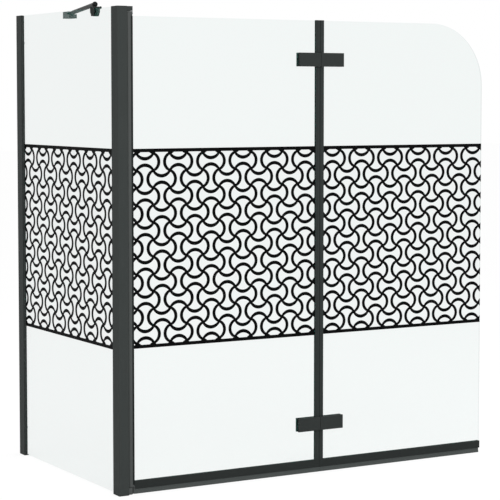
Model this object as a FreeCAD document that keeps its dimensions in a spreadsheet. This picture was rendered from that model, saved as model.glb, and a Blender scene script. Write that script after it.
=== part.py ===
import FreeCAD, Part
import Sketcher
import os
import re

# A folding bath screen: a fixed side pane between a wall profile and a corner post, and a front
# of two glass leaves. Millimetres, +Z up. The model's origin is the middle of its footprint on
# the bath's rim. Inside the bodies, X runs along the front from the post's outer corner, Y runs
# from the post's front to the wall, and Z is the height.

SIZES = {
    # The whole screen
    "front_width": 1200,
    "side_depth": 680,
    "screen_height": 1300,
    "glass_thick": 5,
    "fold_line": 634,
    "leaf_drop": 25,
    "corner_radius": 180,
    "running_gap": 0.3,
    "slip_gap": 0.1,
    "overrun": 3,
    # Corner post
    "post_width": 29,
    "post_depth": 38,
    "post_wall": 2,
    "post_chamber": 20,
    "side_glass_line": 10,
    "side_gasket_thick": 2,
    "post_bite": 12,
    "slot_spare": 2,
    "cap_thick": 2,
    "cap_plug_depth": 8,
    "post_edge": 0.8,
    # Wall profile and the glass channel that slides in it
    "wall_profile_out": 10,
    "wall_profile_in": 7.6,
    "wall_profile_depth": 35,
    "wall_inner_depth": 17,
    "wall_profile_side": 2,
    "wall_profile_web": 2.5,
    "channel_reach": 2,
    "channel_gasket": 1.3,
    "channel_bite": 25.5,
    "channel_web": 2,
    "wall_screw_radius": 3,
    "wall_screw_margin": 150,
    "lock_screw_radius": 2,
    "lock_head_radius": 3.6,
    "lock_head_height": 1.4,
    "lock_screw_inset": 4.5,
    "lock_screw_margin": 80,
    # Swing profile and pivots
    "leaf_setback": 7,
    "swing_radius": 7.5,
    "pivot_gap": 1.5,
    "swing_reach": 11,
    "swing_gasket_thick": 1,
    "swing_bite": 10,
    "lip_length": 6,
    "lip_recess": 1.5,
    "lip_cover_thick": 1.2,
    "lip_cover_end": 0.8,
    "swing_drop": 21,
    "upper_arm_height": 12,
    "lower_arm_height": 19,
    "arm_nose": 11.3,
    "arm_nose_round": 2.5,
    "arm_tongue_thick": 6,
    "arm_tongue_length": 10,
    "arm_tongue_half": 5.5,
    "arm_screw_radius": 2,
    "arm_screw_head": 4,
    "arm_screw_length": 7,
    "plug_flange": 2,
    "plug_collar_radius": 5,
    "plug_collar_height": 6.5,
    "pivot_pin_radius": 2.5,
    "pivot_pin_seat": 8,
    "pin_clearance": 0.05,
    "thrust_washer_thick": 1.2,
    "post_seal_thick": 1.2,
    "post_seal_width": 12,
    # Bottom rails and floor wipers
    "rail_top": 35,
    "rail_bottom": 14,
    "rail_depth": 11,
    "rail_bite": 9,
    "rail_web": 2.5,
    "wiper_root_half": 3,
    "wiper_lip_thick": 2,
    "wiper_lip_flare": 1.5,
    # Centre seals
    "seal_wall": 1,
    "seal_flange_near": 6,
    "seal_flange_far": 8,
    "seal_body_half": 4.5,
    "seal_body_near": 8,
    "seal_body_far": 5,
    "seal_bite": 2,
    "seal_top_rise": 1,
    # Hinges between the leaves
    "hinge_height": 38.2,
    "upper_hinge_drop": 109,
    "lower_hinge_level": 138.5,
    "plate_reach_near": 70.5,
    "plate_reach_far": 76,
    "plate_thick": 6.5,
    "plate_pad_thick": 1,
    "plate_edge": 0.8,
    "knuckle_radius": 5,
    "knuckle_lift": 0.2,
    "knuckle_half": 5,
    "hinge_washer_thick": 1,
    "hinge_pin_radius": 2.5,
    "hinge_screw_radius": 2.5,
    "hinge_screw_near": 22,
    "hinge_screw_end": 15,
    "hinge_screw_grip": 4.5,
    "hinge_head_radius": 4.8,
    "hinge_head_depth": 2.4,
    "hex_radius": 1.7,
    "hex_depth": 1.6,
    "sleeve_radius": 5.5,
    "glass_hole_radius": 6,
    # Stay from the side glass to the wall
    "clamp_place": 166,
    "clamp_offset": 3.9,
    "clamp_top_radius": 13.9,
    "clamp_bowl_radius": 13.3,
    "clamp_heel_radius": 11.6,
    "clamp_bottom_radius": 10.4,
    "clamp_bowl_depth": 10.2,
    "clamp_heel_depth": 5.5,
    "clamp_drop": 21,
    "clamp_rise": 4.7,
    "clamp_edge": 1.2,
    "clamp_pad_thick": 1,
    "clamp_pad_half": 5.5,
    "grub_radius": 2.5,
    "grub_level": 10,
    "swivel_radius": 2.5,
    "lock_level": 2.6,
    "stay_knob_radius": 3.4,
    "stay_knob_shank": 1.4,
    "stay_knob_length": 5,
    "stay_rise": 11,
    "stay_radius": 6,
    "stay_ball_radius": 7.5,
    "stay_tongue_half": 4,
    "stay_tongue_length": 26,
    "bracket_place": 162,
    "bracket_rise": 5,
    "bracket_width": 25,
    "bracket_height": 20,
    "bracket_length": 46,
    "bracket_jaw": 19,
    "bracket_eye": 10,
    "bracket_edge": 1,
    "bracket_thread_radius": 3,
    "bracket_thread_depth": 15,
    "bracket_pin_radius": 2,
}

doc = FreeCAD.newDocument("bath_screen")
sheet = doc.addObject("Spreadsheet::Sheet", "size")
for row, (alias, value) in enumerate(SIZES.items(), start=1):
    sheet.set(f"A{row}", alias)
    sheet.set(f"B{row}", str(value))
    sheet.setAlias(f"B{row}", alias)
doc.recompute()


def formula(text):
    """The expression that a text written with the sheet's names stands for."""
    return re.sub(r"[a-z_]+", lambda word: "size." + word[0] if word[0] in SIZES else word[0], text)


def value_of(text):
    """The present value of a text written with the sheet's names."""
    return float(sheet.evalExpression(formula(text)))


def bind(thing, **expressions):
    """Ties properties, with __ for a dot, to the sheet."""
    for name, text in expressions.items():
        thing.setExpression(name.replace("__", "."), formula(text))


TURNS = {
    "X": FreeCAD.Rotation(FreeCAD.Vector(0, 1, 0), 90),
    "Y": FreeCAD.Rotation(FreeCAD.Vector(1, 0, 0), -90),
    "Z": FreeCAD.Rotation(),
}

# Edges closer than this lie at the same place
TINY = 1e-4


class Piece:
    """One sub-part: a body whose features take their sizes and places from the sheet."""

    made = {}

    def __init__(self, label, x="0", y="0", z="0"):
        self.label = label
        self.body = doc.addObject("PartDesign::Body", label)
        self.body.Label = label
        bind(
            self.body,
            Placement__Base__x=f"{x} - front_width / 2",
            Placement__Base__y=f"{y} - side_depth / 2",
            Placement__Base__z=z,
        )
        Piece.made[label] = self.body

    def feature(self, kind, cut):
        """An additive or subtractive feature of the body."""
        return self.body.newObject(f"PartDesign::{'Subtractive' if cut else 'Additive'}{kind}", kind)

    def place(self, thing, x, y, z):
        bind(thing, Placement__Base__x=x, Placement__Base__y=y, Placement__Base__z=z)

    def box(self, x, y, z, cut=False):
        """A block between the low and high ends given along each axis."""
        block = self.feature("Box", cut)
        bind(
            block,
            Length=f"({x[1]}) - ({x[0]})",
            Width=f"({y[1]}) - ({y[0]})",
            Height=f"({z[1]}) - ({z[0]})",
        )
        self.place(block, x[0], y[0], z[0])
        return self

    def rod(self, axis, centre, radius, span, cut=False):
        """A round bar, or its hole, along an axis from span[0] to span[1]."""
        bar = self.feature("Cylinder", cut)
        bar.Placement = FreeCAD.Placement(FreeCAD.Vector(), TURNS[axis])
        bind(bar, Radius=radius, Height=f"({span[1]}) - ({span[0]})")
        self.place(bar, *self.corner(axis, centre, span[0]))
        return self

    def cone(self, axis, centre, radii, span, cut=False):
        """A cone that has radii[0] at span[0] and radii[1] at span[1]."""
        shape = self.feature("Cone", cut)
        shape.Placement = FreeCAD.Placement(FreeCAD.Vector(), TURNS[axis])
        bind(shape, Radius1=radii[0], Radius2=radii[1], Height=f"({span[1]}) - ({span[0]})")
        self.place(shape, *self.corner(axis, centre, span[0]))
        return self

    def hexagon(self, axis, centre, radius, span):
        """A hexagonal socket."""
        socket = self.feature("Prism", True)
        socket.Polygon = 6
        socket.Placement = FreeCAD.Placement(FreeCAD.Vector(), TURNS[axis])
        bind(socket, Circumradius=radius, Height=f"({span[1]}) - ({span[0]})")
        self.place(socket, *self.corner(axis, centre, span[0]))
        return self

    def ball(self, centre, radius):
        """A sphere."""
        sphere = self.feature("Sphere", False)
        bind(sphere, Radius=radius)
        self.place(sphere, *centre)
        return self

    def corner(self, axis, centre, low):
        """The start point of a round feature along an axis."""
        others = iter(centre)
        return [low if name == axis else next(others) for name in "XYZ"]

    def outline(self, plane, points, span):
        """Pads a closed outline of corner points from span[0] to span[1] along the plane's normal."""
        sketch = self.body.newObject("Sketcher::SketchObject", "Outline")
        planes = [item for item in self.body.Origin.OriginFeatures if item.Role == plane]
        sketch.AttachmentSupport = [(planes[0], "")]
        sketch.MapMode = "FlatFace"
        draw_outline(sketch, points)
        bind(sketch, AttachmentOffset__Base__z=span[0])
        pad = self.body.newObject("PartDesign::Pad", "Pad")
        pad.Profile = sketch
        bind(pad, Length=f"({span[1]}) - ({span[0]})")
        return self

    def edges(self, kind, size, chosen):
        """A Fillet or Chamfer on the edges that the test chooses."""
        doc.recompute()
        base = self.body.Tip
        names = [f"Edge{n}" for n, edge in enumerate(base.Shape.Edges, start=1) if chosen(edge)]
        if not names:
            raise ValueError(f"{self.label}: no edge was chosen")
        finish = self.body.newObject(f"PartDesign::{kind}", kind)
        finish.Base = (base, names)
        bind(finish, **{"Radius" if kind == "Fillet" else "Size": size})
        return self


def draw_outline(sketch, points):
    """Closed lines through points whose distances from the origin are bound to the sheet."""
    spots = [FreeCAD.Vector(value_of(x), value_of(y), 0) for x, y in points]
    for here, there in zip(spots, spots[1:] + spots[:1]):
        sketch.addGeometry(Part.LineSegment(here, there), False)
    for index in range(len(points)):
        after = (index + 1) % len(points)
        sketch.addConstraint(Sketcher.Constraint("Coincident", index, 2, after, 1))
    for index, (x, y) in enumerate(points):
        for kind, text, spot in (("DistanceX", x, spots[index].x), ("DistanceY", y, spots[index].y)):
            name = f"{kind[-1].lower()}_{index}"
            number = sketch.addConstraint(Sketcher.Constraint(kind, -1, 1, index, 1, spot))
            sketch.renameConstraint(number, name)
            sketch.setExpression(f"Constraints.{name}", formula(text))


def along(axis):
    """A test for straight edges along an axis."""
    def test(edge):
        if not isinstance(edge.Curve, Part.Line):
            return False
        return abs(abs(getattr(edge.Curve.Direction, axis)) - 1) < TINY
    return test


def at(axis, text):
    """A test for edges that lie wholly at one place along an axis."""
    def test(edge):
        box = edge.BoundBox
        low, high = getattr(box, f"{axis.upper()}Min"), getattr(box, f"{axis.upper()}Max")
        place = value_of(text)
        return abs(low - place) < TINY and abs(high - place) < TINY
    return test


# Places that several sub-parts share
FRONT_LINE = "(leaf_setback + swing_radius)"
SIDE_LINE = "side_glass_line"
PIVOT_X = "(post_width + pivot_gap + swing_radius)"
SWING_END = f"({PIVOT_X} + swing_reach)"
LIP_END = f"({SWING_END} - lip_cover_end)"
SWING_TOP = "(screen_height - swing_drop)"
LEAF_TOP = "(screen_height - leaf_drop)"
LEAF_FOOT = "(rail_top - rail_bite)"
FRONT_GLASS = (f"({FRONT_LINE} - glass_thick / 2)", f"({FRONT_LINE} + glass_thick / 2)")
SIDE_GLASS = (f"({SIDE_LINE} - glass_thick / 2)", f"({SIDE_LINE} + glass_thick / 2)")
SIDE_GLASS_FRONT = "(post_depth - post_bite)"
CHANNEL_FRONT = "(side_depth - wall_profile_depth - channel_reach)"
SIDE_GLASS_BACK = f"({CHANNEL_FRONT} + channel_bite)"
NEAR_END = "(fold_line - running_gap)"
FAR_START = "(fold_line + running_gap)"
NEAR_GLASS_START = f"({SWING_END} - swing_bite)"
NEAR_GLASS_END = "(fold_line - seal_body_near + seal_bite)"
FAR_GLASS_START = "(fold_line + seal_body_far - seal_bite)"
FOLD_Y = f"({FRONT_LINE} + glass_thick / 2 + plate_pad_thick + plate_thick + knuckle_lift)"
PLUG_LOW = "(lower_arm_height + thrust_washer_thick + running_gap)"
SWING_FOOT = f"({PLUG_LOW} + plug_flange)"
UPPER_ARM_FOOT = "(screen_height - upper_arm_height)"
UPPER_SCREW = f"({UPPER_ARM_FOOT} - arm_tongue_length / 2)"
LOWER_SCREW = "(lower_arm_height + arm_tongue_length / 2)"
LOCK_LEVELS = (
    "lock_screw_margin",
    "screen_height / 2 + lock_screw_margin",
    "screen_height - lock_screw_margin",
)
WALL_INNER_FRONT = "(side_depth - wall_inner_depth)"
LOCK_PLACE = f"({WALL_INNER_FRONT} + lock_screw_inset)"
WALL_LEFT = f"({SIDE_LINE} - wall_profile_out)"
WALL_RIGHT = f"({SIDE_LINE} + wall_profile_in)"
WALL_MIDDLE = f"(({WALL_LEFT} + {WALL_RIGHT}) / 2)"
CHANNEL_LEFT = f"({WALL_LEFT} + wall_profile_side + slip_gap)"
CHANNEL_RIGHT = f"({WALL_RIGHT} - wall_profile_side - slip_gap)"
CLAMP_LINE = f"({SIDE_LINE} + clamp_offset)"
GRUB_LEVEL = "(screen_height - grub_level)"
KNOB_LEVEL = "(screen_height + lock_level)"
STAY_LEVEL = "(screen_height + stay_rise)"
BRACKET_LEVEL = "(screen_height + bracket_rise)"
EYE_Y = "(side_depth - bracket_length + bracket_eye)"
STAY_RUN = f"sqrt((bracket_place - {CLAMP_LINE})^2 + ({EYE_Y} - clamp_place)^2)"
UPPER_HINGE = f"({LEAF_TOP} - upper_hinge_drop)"
HINGES = {"upper": UPPER_HINGE, "lower": "lower_hinge_level"}


def side_glass():
    """The fixed pane, standing on the caps of the post and of the wall profile."""
    Piece("side_glass").box(SIDE_GLASS, (SIDE_GLASS_FRONT, SIDE_GLASS_BACK), ("cap_thick", "screen_height"))


def corner_post():
    """A hollow extrusion with a slot for the side glass in its back."""
    body_z = ("cap_thick", "screen_height - cap_thick")
    past = ("0", "screen_height")
    slot_half = "(glass_thick / 2 + side_gasket_thick)"
    slot_front = f"({SIDE_GLASS_FRONT} - slot_spare)"
    chamber = ("post_wall", "post_wall + post_chamber")
    post = Piece("corner_post")
    post.box(("0", "post_width"), ("0", "post_depth"), body_z)
    post.edges("Fillet", "post_edge", lambda edge: along("z")(edge) and at("y", "0")(edge))
    post.box(("post_wall", "post_width - post_wall"), chamber, past, cut=True)
    post.box(
        (f"{SIDE_LINE} - {slot_half}", f"{SIDE_LINE} + {slot_half}"),
        (slot_front, "post_depth + overrun"),
        past,
        cut=True,
    )
    web_y = (slot_front, "post_depth - post_wall")
    post.box(("post_wall", f"{SIDE_LINE} - {slot_half} - post_wall"), web_y, past, cut=True)
    post.box((f"{SIDE_LINE} + {slot_half} + post_wall", "post_width - post_wall"), web_y, past, cut=True)
    notch_y = (f"{FRONT_LINE} - arm_tongue_half - slip_gap", f"{FRONT_LINE} + arm_tongue_half + slip_gap")
    wall_x = ("post_width - post_wall - slip_gap", "post_width + overrun")
    post.box(wall_x, notch_y, (f"{UPPER_ARM_FOOT} - slip_gap", "screen_height"), cut=True)
    post.box(wall_x, notch_y, ("0", "lower_arm_height + slip_gap"), cut=True)
    for level in (UPPER_SCREW, LOWER_SCREW):
        post.cone("X", (FRONT_LINE, level), ("arm_screw_radius", "arm_screw_head"),
                  ("post_width - post_wall", "post_width"), cut=True)


def post_gaskets():
    """Two strips that hold the side glass in the post's slot."""
    strips = Piece("post_gaskets")
    for side in (
        (f"{SIDE_GLASS[0]} - side_gasket_thick", SIDE_GLASS[0]),
        (SIDE_GLASS[1], f"{SIDE_GLASS[1]} + side_gasket_thick"),
    ):
        strips.box(side, (SIDE_GLASS_FRONT, "post_depth"), ("cap_thick", "screen_height - cap_thick"))


def post_caps():
    """End caps with a plug in the post's chamber. The top cap leaves room for the glass."""
    top = Piece("post_top_cap")
    cap_z = ("screen_height - cap_thick", "screen_height")
    top.box(("0", "post_width"), ("0", "post_depth"), cap_z)
    top.edges("Fillet", "post_edge", lambda edge: along("z")(edge) and at("y", "0")(edge))
    glass_x = (f"{SIDE_GLASS[0]} - slip_gap", f"{SIDE_GLASS[1]} + slip_gap")
    top.box(glass_x, (f"{SIDE_GLASS_FRONT} - slip_gap", "post_depth + overrun"), cap_z, cut=True)
    plug_y = ("post_wall + slip_gap", "post_wall + post_chamber - slip_gap")
    plug_x = ("post_wall + slip_gap", "post_width - post_wall - arm_tongue_thick - running_gap")
    top.box(plug_x, plug_y, ("screen_height - cap_thick - cap_plug_depth", "screen_height - cap_thick"))
    bottom = Piece("post_bottom_cap")
    bottom.box(("0", "post_width"), ("0", "post_depth"), ("0", "cap_thick"))
    bottom.edges("Fillet", "post_edge", lambda edge: along("z")(edge) and at("y", "0")(edge))
    bottom.box(plug_x, plug_y, ("cap_thick", "cap_thick + cap_plug_depth"))


def wall_profile():
    """A U that is screwed to the wall through its web, with a deep outer leg and a short inner one."""
    left = WALL_LEFT
    right = WALL_RIGHT
    front = "side_depth - wall_profile_depth"
    web = "side_depth - wall_profile_web"
    profile = Piece("wall_profile")
    points = (
        (left, front),
        (f"{left} + wall_profile_side", front),
        (f"{left} + wall_profile_side", web),
        (f"{right} - wall_profile_side", web),
        (f"{right} - wall_profile_side", WALL_INNER_FRONT),
        (right, WALL_INNER_FRONT),
        (right, "side_depth"),
        (left, "side_depth"),
    )
    profile.outline("XY_Plane", points, ("cap_thick", "screen_height - cap_thick"))
    for level in ("wall_screw_margin", "screen_height / 2", "screen_height - wall_screw_margin"):
        span = (f"{web} - overrun", "side_depth + overrun")
        profile.rod("Y", (WALL_MIDDLE, level), "wall_screw_radius", span, cut=True)
    for level in LOCK_LEVELS:
        profile.rod("X", (LOCK_PLACE, level), "lock_screw_radius + slip_gap",
                    (f"{right} - wall_profile_side - overrun", f"{right} + overrun"), cut=True)


def glass_channel():
    """A U that grips the side glass and slides in the wall profile to meet an uneven wall."""
    left = CHANNEL_LEFT
    right = CHANNEL_RIGHT
    slot_left = f"{SIDE_GLASS[0]} - channel_gasket"
    slot_right = f"{SIDE_GLASS[1]} + channel_gasket"
    web = f"({SIDE_GLASS_BACK} + slot_spare)"
    channel = Piece("glass_channel")
    points = (
        (left, CHANNEL_FRONT),
        (slot_left, CHANNEL_FRONT),
        (slot_left, web),
        (slot_right, web),
        (slot_right, WALL_INNER_FRONT),
        (right, WALL_INNER_FRONT),
        (right, f"{web} + channel_web"),
        (left, f"{web} + channel_web"),
    )
    channel.outline("XY_Plane", points, ("cap_thick", "screen_height - cap_thick"))
    for level in LOCK_LEVELS:
        channel.rod("X", (LOCK_PLACE, level), "lock_screw_radius + slip_gap",
                    (f"{slot_right} - overrun", f"{right} + overrun"), cut=True)


def channel_gaskets():
    """Two strips that hold the side glass in the channel."""
    strips = Piece("channel_gaskets")
    for side, front in (
        ((f"{SIDE_GLASS[0]} - channel_gasket", SIDE_GLASS[0]), CHANNEL_FRONT),
        ((SIDE_GLASS[1], f"{SIDE_GLASS[1]} + channel_gasket"), WALL_INNER_FRONT),
    ):
        strips.box(side, (front, SIDE_GLASS_BACK), ("cap_thick", "screen_height - cap_thick"))


def channel_lock_screws():
    """Pan-head screws that lock the channel in the wall profile, on the bath's side."""
    screws = Piece("channel_lock_screws")
    face = WALL_RIGHT
    tip = f"{SIDE_GLASS[1]} + channel_gasket + slip_gap"
    head_top = f"{face} + lock_head_height"
    for level in LOCK_LEVELS:
        spot = (LOCK_PLACE, level)
        screws.rod("X", spot, "lock_screw_radius", (tip, face))
        screws.rod("X", spot, "lock_head_radius", (face, head_top))
        screws.hexagon("X", spot, "lock_screw_radius / 2 + slip_gap", (face, f"{head_top} + overrun"))


def wall_profile_caps():
    """Caps on the ends of the wall profile. The side glass stands on the bottom one."""
    outer = (WALL_LEFT, f"{SIDE_GLASS[0]} - running_gap")
    width = (WALL_LEFT, WALL_RIGHT)
    inner_y = (WALL_INNER_FRONT, "side_depth")
    top_z = ("screen_height - cap_thick", "screen_height")
    top = Piece("wall_profile_top_cap")
    top.box(width, (f"{SIDE_GLASS_BACK} + running_gap", "side_depth"), top_z)
    top.box(outer, (CHANNEL_FRONT, "side_depth"), top_z)
    top.box((f"{SIDE_GLASS[1]} + running_gap", WALL_RIGHT), inner_y, top_z)
    bottom = Piece("wall_profile_bottom_cap")
    bottom.box(width, inner_y, ("0", "cap_thick"))
    bottom.box((WALL_LEFT, SIDE_GLASS[1]), (CHANNEL_FRONT, "side_depth"), ("0", "cap_thick"))


def pivot_arms():
    """Blocks on the post's two ends that carry the leaf's pins. The upper one reaches over the leaf's edge."""
    sides = (f"{FRONT_LINE} - swing_radius", f"{FRONT_LINE} + swing_radius")
    tongue_y = (f"{FRONT_LINE} - arm_tongue_half", f"{FRONT_LINE} + arm_tongue_half")
    tongue_x = ("post_width - post_wall - arm_tongue_thick - slip_gap", "post_width - post_wall - slip_gap")
    neck_x = ("post_width - post_wall - arm_tongue_thick", "post_width")
    inside_top = "screen_height - cap_thick"
    for name, low, high, neck, tongue, screw, seat in (
        ("top_pivot_arm", UPPER_ARM_FOOT, "screen_height", (UPPER_ARM_FOOT, inside_top),
         (f"{UPPER_ARM_FOOT} - arm_tongue_length", inside_top), UPPER_SCREW,
         (UPPER_ARM_FOOT, f"{UPPER_ARM_FOOT} + pivot_pin_seat")),
        ("bottom_pivot_arm", "0", "lower_arm_height", ("cap_thick", "lower_arm_height"),
         ("cap_thick", "lower_arm_height + arm_tongue_length"), LOWER_SCREW,
         ("lower_arm_height - pivot_pin_seat", "lower_arm_height")),
    ):
        arm = Piece(name)
        if name == "top_pivot_arm":
            nose = f"{PIVOT_X} + arm_nose"
            arm.box(("post_width", nose), sides, (low, high))
            arm.edges("Fillet", "arm_nose_round",
                      lambda edge, nose=nose: along("z")(edge) and at("x", nose)(edge))
        else:
            arm.box(("post_width", PIVOT_X), sides, (low, high))
            arm.rod("Z", (PIVOT_X, FRONT_LINE), "swing_radius", (low, high))
        arm.box(neck_x, tongue_y, neck)
        arm.box(tongue_x, tongue_y, tongue)
        arm.rod("Z", (PIVOT_X, FRONT_LINE), "pivot_pin_radius + pin_clearance", seat, cut=True)
        arm.rod("X", (FRONT_LINE, screw), "arm_screw_radius + slip_gap", (tongue_x[0], tongue_x[1]), cut=True)


def pivot_arm_screws():
    """Countersunk screws through the post's wall into the arms' tongues."""
    screws = Piece("pivot_arm_screws")
    for level in (UPPER_SCREW, LOWER_SCREW):
        spot = (FRONT_LINE, level)
        shank = ("post_width - arm_screw_length", "post_width - post_wall")
        socket = ("post_width - hex_depth", "post_width + overrun")
        screws.rod("X", spot, "arm_screw_radius", shank)
        screws.cone("X", spot, ("arm_screw_radius", "arm_screw_head"), (shank[1], "post_width"))
        screws.hexagon("X", spot, "arm_screw_radius / 2 + slip_gap", socket)


def pivot_pins():
    """The two pins that the leaf swings on, pressed in the arms."""
    spot = (PIVOT_X, FRONT_LINE)
    top_end = f"{SWING_TOP} - plug_flange"
    Piece("top_pivot_pin").rod("Z", spot, "pivot_pin_radius", (top_end, f"{UPPER_ARM_FOOT} + pivot_pin_seat"))
    low_span = ("lower_arm_height - pivot_pin_seat", f"{SWING_FOOT} + plug_flange")
    Piece("bottom_pivot_pin").rod("Z", spot, "pivot_pin_radius", low_span)


def thrust_washer():
    """The ring on the lower arm that carries the leaves' weight."""
    spot = (PIVOT_X, FRONT_LINE)
    ring_z = ("lower_arm_height", "lower_arm_height + thrust_washer_thick")
    ring = Piece("thrust_washer").rod("Z", spot, "plug_collar_radius", ring_z)
    ring.rod("Z", spot, "pivot_pin_radius + pin_clearance", ring_z, cut=True)


def post_seal():
    """A soft strip on the post that the round back of the swing profile runs past."""
    width = (f"{FRONT_LINE} - post_seal_width / 2", f"{FRONT_LINE} + post_seal_width / 2")
    height = (f"{LOWER_SCREW} + arm_screw_head", f"{UPPER_SCREW} - arm_screw_head")
    Piece("post_seal").box(("post_width", "post_width + post_seal_thick"), width, height)


def swing_profile():
    """The leaf's edge extrusion, with a round back about the pivot and a slot for the glass."""
    height = (SWING_FOOT, SWING_TOP)
    sides = (f"{FRONT_LINE} - swing_radius", f"{FRONT_LINE} + swing_radius")
    slot_half = "(glass_thick / 2 + swing_gasket_thick)"
    profile = Piece("swing_profile")
    profile.rod("Z", (PIVOT_X, FRONT_LINE), "swing_radius", height)
    profile.box((PIVOT_X, LIP_END), sides, height)
    for recess in (
        (f"{sides[0]} - overrun", f"{sides[0]} + lip_recess"),
        (f"{sides[1]} - lip_recess", f"{sides[1]} + overrun"),
    ):
        profile.box((f"{SWING_END} - lip_length", f"{SWING_END} + overrun"), recess, height, cut=True)
    profile.rod("Z", (PIVOT_X, FRONT_LINE), slot_half, height, cut=True)
    slot_y = (f"{FRONT_LINE} - {slot_half}", f"{FRONT_LINE} + {slot_half}")
    profile.box((PIVOT_X, f"{SWING_END} + overrun"), slot_y, height, cut=True)


def pivot_plugs():
    """Moulded end plugs of the swing profile, bored for the pivot pins."""
    spot = (PIVOT_X, FRONT_LINE)
    slot_half = "(glass_thick / 2 + swing_gasket_thick - slip_gap)"
    sides = (f"{FRONT_LINE} - swing_radius", f"{FRONT_LINE} + swing_radius")
    slot_y = (f"{FRONT_LINE} - {slot_half}", f"{FRONT_LINE} + {slot_half}")
    bore = "pivot_pin_radius + pin_clearance"
    root = f"({SWING_TOP} - {LEAF_TOP} - running_gap)"
    top = Piece("top_pivot_plug")
    flange = (SWING_TOP, f"{SWING_TOP} + plug_flange")
    collar = (flange[1], f"{flange[1]} + plug_collar_height")
    top.rod("Z", spot, "swing_radius", flange)
    top.box((PIVOT_X, SWING_END), sides, flange)
    top.rod("Z", spot, slot_half, (f"{SWING_TOP} - {root}", SWING_TOP))
    top.box((PIVOT_X, SWING_END), slot_y, (f"{SWING_TOP} - {root}", SWING_TOP))
    top.rod("Z", spot, "plug_collar_radius", collar)
    top.rod("Z", spot, bore, (f"{SWING_TOP} - {root}", "screen_height"), cut=True)
    bottom = Piece("bottom_pivot_plug")
    bottom.rod("Z", spot, "swing_radius", (PLUG_LOW, SWING_FOOT))
    bottom.box((PIVOT_X, SWING_END), sides, (PLUG_LOW, SWING_FOOT))
    bottom.rod("Z", spot, slot_half, (SWING_FOOT, f"{LEAF_FOOT} - running_gap"))
    bottom.box((PIVOT_X, SWING_END), slot_y, (SWING_FOOT, f"{LEAF_FOOT} - running_gap"))
    bottom.rod("Z", spot, bore, (PLUG_LOW, LEAF_FOOT), cut=True)


def swing_gaskets():
    """Two soft strips that hold leaf 1's glass and fold round the swing profile's lips."""
    strips = Piece("swing_gaskets")
    for glass, sign in ((FRONT_GLASS[0], "-"), (FRONT_GLASS[1], "+")):
        lip_inner = f"{glass} {sign} swing_gasket_thick"
        lip_outer = f"{FRONT_LINE} {sign} (swing_radius - lip_recess)"
        cover = f"{lip_outer} {sign} lip_cover_thick"
        points = (
            (NEAR_GLASS_START, glass),
            (SWING_END, glass),
            (SWING_END, cover),
            (f"{SWING_END} - lip_length", cover),
            (f"{SWING_END} - lip_length", lip_outer),
            (LIP_END, lip_outer),
            (LIP_END, lip_inner),
            (NEAR_GLASS_START, lip_inner),
        )
        strips.outline("XY_Plane", points, (LEAF_FOOT, LEAF_TOP))


def screw_places(leaf):
    """The X places of one leaf's hinge screws, one near the fold and one near the plate's end."""
    if leaf == 1:
        return ("(fold_line - hinge_screw_near)", "(fold_line - plate_reach_near + hinge_screw_end)")
    return ("(fold_line + hinge_screw_near)", "(fold_line + plate_reach_far - hinge_screw_end)")


def drill_glass(pane, leaf):
    """Holes for the hinge screws and their sleeves."""
    for level in HINGES.values():
        for place in screw_places(leaf):
            span = (f"{FRONT_GLASS[0]} - overrun", f"{FRONT_GLASS[1]} + overrun")
            pane.rod("Y", (place, level), "glass_hole_radius", span, cut=True)


def front_glass():
    """The two leaves' panes. The free top corner of leaf 2 is round."""
    near = Piece("leaf_1_glass")
    near.box((NEAR_GLASS_START, NEAR_GLASS_END), FRONT_GLASS, (LEAF_FOOT, LEAF_TOP))
    drill_glass(near, 1)
    far = Piece("leaf_2_glass")
    far.box((FAR_GLASS_START, "front_width"), FRONT_GLASS, (LEAF_FOOT, LEAF_TOP))
    far.edges("Fillet", "corner_radius",
              lambda edge: along("y")(edge) and at("x", "front_width")(edge) and at("z", LEAF_TOP)(edge))
    drill_glass(far, 2)


def bottom_rail(leaf, span):
    """An H that carries the wiper under the glass, over the leaf's whole width."""
    half = "rail_depth / 2"
    glass_half = "(glass_thick / 2 + slip_gap)"
    root_half = "(wiper_root_half + slip_gap)"
    web_low = f"({LEAF_FOOT} - rail_web)"
    points = (
        (f"{FRONT_LINE} - {half}", "rail_bottom"),
        (f"{FRONT_LINE} - {root_half}", "rail_bottom"),
        (f"{FRONT_LINE} - {root_half}", web_low),
        (f"{FRONT_LINE} + {root_half}", web_low),
        (f"{FRONT_LINE} + {root_half}", "rail_bottom"),
        (f"{FRONT_LINE} + {half}", "rail_bottom"),
        (f"{FRONT_LINE} + {half}", "rail_top"),
        (f"{FRONT_LINE} + {glass_half}", "rail_top"),
        (f"{FRONT_LINE} + {glass_half}", LEAF_FOOT),
        (f"{FRONT_LINE} - {glass_half}", LEAF_FOOT),
        (f"{FRONT_LINE} - {glass_half}", "rail_top"),
        (f"{FRONT_LINE} - {half}", "rail_top"),
    )
    Piece(f"leaf_{leaf}_bottom_rail").outline("YZ_Plane", points, span)


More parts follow.
